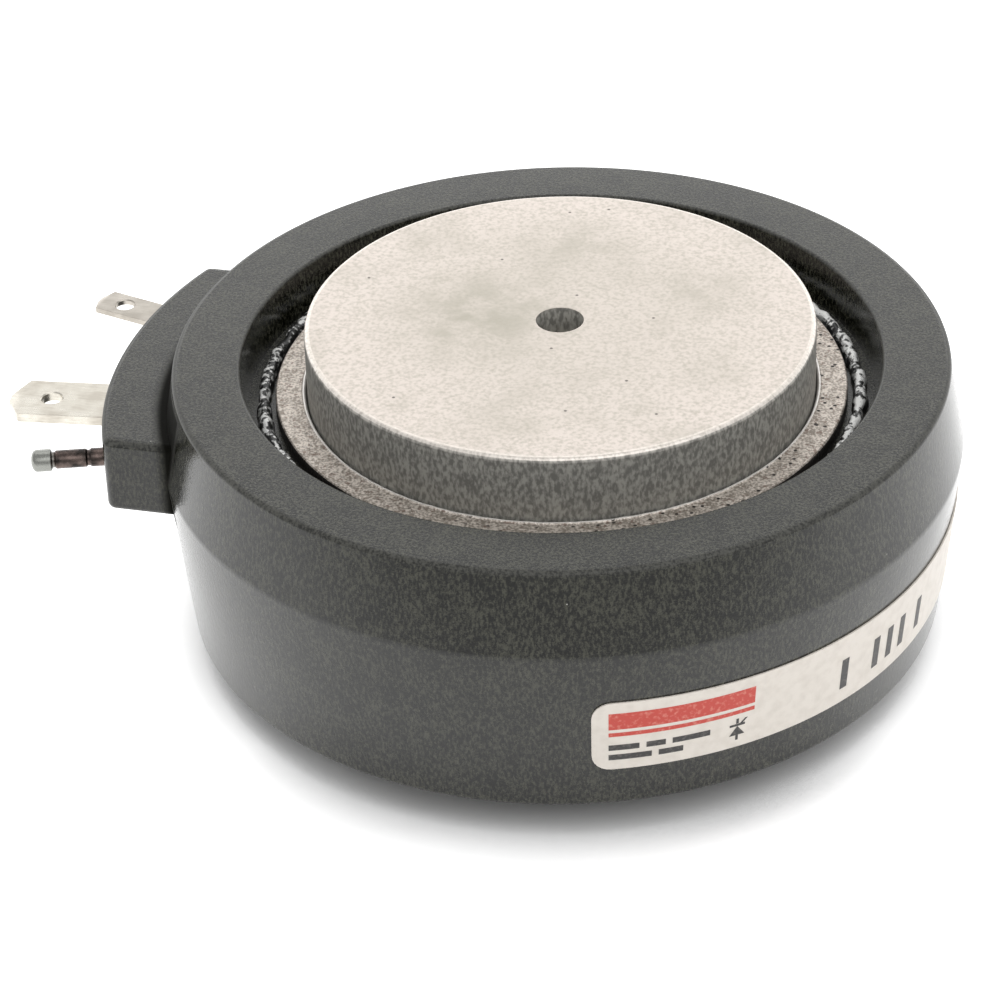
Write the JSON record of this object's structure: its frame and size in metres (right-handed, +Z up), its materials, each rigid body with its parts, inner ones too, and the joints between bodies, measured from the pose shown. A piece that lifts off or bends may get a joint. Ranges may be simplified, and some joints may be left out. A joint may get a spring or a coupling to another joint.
{
  "type": "disc thyristor",
  "caption": "Flat round power thyristor: dark moulded ring housing between two plated contact poles, with blade terminals on a side boss; clamped between heat sinks.",
  "frame": {"origin": "centre of the lower (anode) contact face, at the mouth of its centring hole", "axes": "+Z up the clamping axis towards the cathode face, -X towards the terminal boss"},
  "size_m": [0.0726, 0.0602, 0.026],
  "materials": {
    "moulding": "semi-matte moulded, finely textured",
    "plated_copper": "satin nickel plate, faintly scratched",
    "flange_metal": "dull, speckled",
    "sealing_bead": "glossy, uneven",
    "silicon": "polished",
    "molybdenum": "lapped",
    "silicone": "soft, translucent",
    "insulator": "plain",
    "contact_metal": "plated",
    "spring_steel": "drawn wire",
    "copper": "bright",
    "tinned_brass": "tinned",
    "tube_copper": "tarnished, dull tip",
    "label_film": "printed film"
  },
  "bodies": {
    "root": {"housing": "moulding", "cathode_pole": "plated_copper", "anode_pole": "plated_copper", "cathode_flange": "flange_metal", "anode_flange": "flange_metal", "cathode_seal": "sealing_bead", "anode_seal": "sealing_bead", "silicon_wafer": "silicon", "anode_disc": "molybdenum", "cathode_disc": "molybdenum", "edge_seal": "silicone", "centring_ring": "insulator", "gate_pin": "contact_metal", "gate_spring": "spring_steel", "gate_cup": "insulator", "gate_bush": "insulator", "gate_lead": "copper", "gate_sleeve": "silicone", "gate_tab": "tinned_brass", "cathode_tab": "tinned_brass", "cathode_strap": "copper", "vent_tube": "tube_copper", "label": "label_film"}
  },
  "joints": []
}
